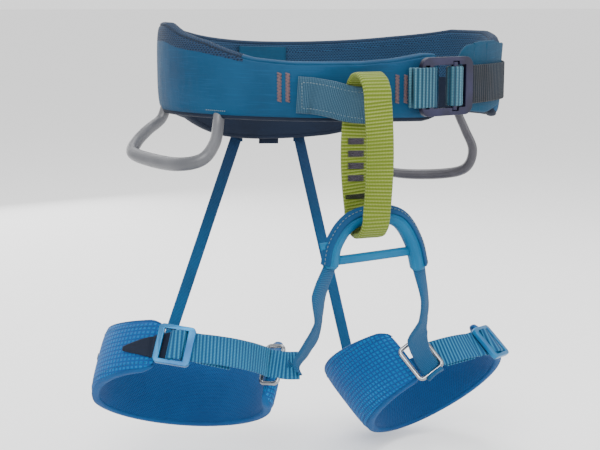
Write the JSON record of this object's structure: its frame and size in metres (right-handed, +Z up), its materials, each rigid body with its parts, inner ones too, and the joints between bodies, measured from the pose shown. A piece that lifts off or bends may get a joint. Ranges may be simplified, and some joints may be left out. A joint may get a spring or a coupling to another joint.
{
  "type": "climbing harness",
  "caption": "Padded sit harness with a buckled waist belt, stitched belay loop, webbing bridge, two padded leg loops on elastic risers, and moulded gear loops.",
  "frame": {"origin": "middle of the waist opening, at half the height of the front of the belt", "axes": "+X to the wearer's left, -Y to the front, +Z up along the waist opening's axis"},
  "size_m": [0.2801, 0.2053, 0.2829],
  "materials": {
    "belt_cloth": "woven",
    "navy_cloth": "woven",
    "mesh": "spacer mesh",
    "foam": "matte",
    "webbing_dark": "woven",
    "webbing_waist": "ribbed",
    "sleeve": "woven",
    "webbing_lime": "ribbed",
    "webbing_leg": "ribbed",
    "elastic": "ribbed",
    "tube": "woven",
    "leg_cloth": "waffle",
    "leg_mesh": "spacer mesh",
    "thread": "stitched",
    "waist_alloy": "anodised",
    "leg_alloy": "anodised",
    "gear_light": "satin",
    "gear_dark": "satin",
    "wire": "polished"
  },
  "bodies": {
    "waist_belt": {"waist_belt_outer_fabric": "belt_cloth", "waist_belt_foam": "foam", "waist_belt_mesh_lining": "mesh", "waist_belt_top_binding": "navy_cloth", "waist_belt_bottom_binding": "navy_cloth", "waist_load_webbing": "webbing_dark", "waist_back_patch": "belt_cloth", "haul_tabs": "belt_cloth", "riser_anchors": "webbing_dark", "waist_bar_tacks": "thread", "tie_in_strap": "sleeve", "waist_buckle_anchor": "webbing_waist", "waist_strap": "webbing_waist", "waist_tongue": "belt_cloth", "waist_strap_keeper": "navy_cloth", "tie_in_tube": "tube", "crossbar_strap": "tube", "tie_in_tag": "tube", "bridge_strap_right": "webbing_leg", "bridge_strap_left": "webbing_leg", "riser_right": "elastic", "riser_left": "elastic"},
    "waist_buckle": {"waist_buckle_frame": "waist_alloy", "waist_buckle_slide_bar": "waist_alloy"},
    "waist_tail": {"waist_strap_tail": "webbing_waist"},
    "belay_loop": {"belay_loop": "webbing_lime", "belay_loop_tacks": "thread"},
    "gear_loop_right": {"gear_loop_right": "gear_light"},
    "gear_loop_left": {"gear_loop_left": "gear_dark"},
    "leg_loop_right": {"leg_outer_fabric_right": "leg_cloth", "leg_foam_right": "foam", "leg_mesh_lining_right": "leg_mesh", "leg_binding_right": "leg_mesh", "leg_anchor_tab_right": "navy_cloth", "leg_ring_tab_right": "navy_cloth", "leg_strap_right": "webbing_leg"},
    "leg_buckle_right": {"leg_buckle_right": "leg_alloy"},
    "leg_tail_right": {"leg_strap_tail_right": "webbing_leg"},
    "wire_ring_right": {"wire_ring_right": "wire"},
    "leg_loop_left": {"leg_outer_fabric_left": "leg_cloth", "leg_foam_left": "foam", "leg_mesh_lining_left": "leg_mesh", "leg_binding_left": "leg_mesh", "leg_anchor_tab_left": "navy_cloth", "leg_ring_tab_left": "navy_cloth", "leg_strap_left": "webbing_leg"},
    "leg_buckle_left": {"leg_buckle_left": "leg_alloy"},
    "leg_tail_left": {"leg_strap_tail_left": "webbing_leg"},
    "wire_ring_left": {"wire_ring_left": "wire"}
  },
  "joints": [
    {"name": "waist_buckle_tilt", "type": "hinge", "parent": "waist_belt", "child": "waist_buckle", "pos_m": [0.04308, -0.08672, 0], "axis": [0, 0, -1], "range_deg": [0, 15], "deforming": ["waist_strap", "waist_buckle_anchor"]},
    {"name": "waist_tail_pull", "type": "slide", "parent": "waist_belt", "child": "waist_tail", "axis": [0.6428, 0.766, 0], "range_m": [0, 0.022]},
    {"name": "belay_loop_swing", "type": "hinge", "parent": "waist_belt", "child": "belay_loop", "pos_m": [-0.003, -0.094, 0.003], "axis": [1, 0, 0], "range_deg": [-1.5, 3.5]},
    {"name": "gear_loop_right_lift", "type": "hinge", "parent": "waist_belt", "child": "gear_loop_right", "pos_m": [-0.0779, -0.0531, -0.015], "axis": [-0.1944, 0.9735, -0.1203], "range_deg": [0, 25], "stiffness_Nm_per_rad": 0.05},
    {"name": "gear_loop_left_lift", "type": "hinge", "parent": "waist_belt", "child": "gear_loop_left", "pos_m": [0.1215, 0.027, -0.0264], "axis": [0.7249, -0.6427, 0.2481], "range_deg": [0, 25], "stiffness_Nm_per_rad": 0.05},
    {"name": "leg_loop_right_swing", "type": "hinge", "parent": "waist_belt", "child": "leg_loop_right", "pos_m": [-0.03894, -0.0441, -0.16877], "axis": [1, 0, 0], "range_deg": [-10, 15], "stiffness_Nm_per_rad": 0.2, "deforming": ["riser_right", "bridge_strap_right"]},
    {"name": "leg_buckle_right_tilt", "type": "hinge", "parent": "leg_loop_right", "child": "leg_buckle_right", "pos_m": [-0.11094, -0.05023, -0.14633], "axis": [-0.3624, -0.454, -0.814], "range_deg": [0, 25], "deforming": ["leg_strap_right"]},
    {"name": "leg_tail_right_pull", "type": "slide", "parent": "leg_loop_right", "child": "leg_tail_right", "axis": [0.92, 0.205, -0.334], "range_m": [0, 0.01]},
    {"name": "wire_ring_right_swing", "type": "hinge", "parent": "leg_loop_right", "child": "wire_ring_right", "pos_m": [-0.03894, -0.0441, -0.16877], "axis": [0.3624, 0.454, 0.814], "range_deg": [-10, 10]},
    {"name": "leg_loop_left_swing", "type": "hinge", "parent": "waist_belt", "child": "leg_loop_left", "pos_m": [0.05351, -0.0602, -0.16964], "axis": [1, 0, 0], "range_deg": [-10, 15], "stiffness_Nm_per_rad": 0.2, "deforming": ["riser_left", "bridge_strap_left"]},
    {"name": "leg_buckle_left_tilt", "type": "hinge", "parent": "leg_loop_left", "child": "leg_buckle_left", "pos_m": [0.11301, -0.04924, -0.1669], "axis": [-0.3886, 0.6293, 0.673], "range_deg": [0, 25], "deforming": ["leg_strap_left"]},
    {"name": "leg_tail_left_pull", "type": "slide", "parent": "leg_loop_left", "child": "leg_tail_left", "axis": [-0.9885, 0.0039, -0.1511], "range_m": [0, 0.008]},
    {"name": "wire_ring_left_swing", "type": "hinge", "parent": "leg_loop_left", "child": "wire_ring_left", "pos_m": [0.05351, -0.0602, -0.16964], "axis": [-0.3886, 0.6293, 0.673], "range_deg": [-10, 10]}
  ]
}
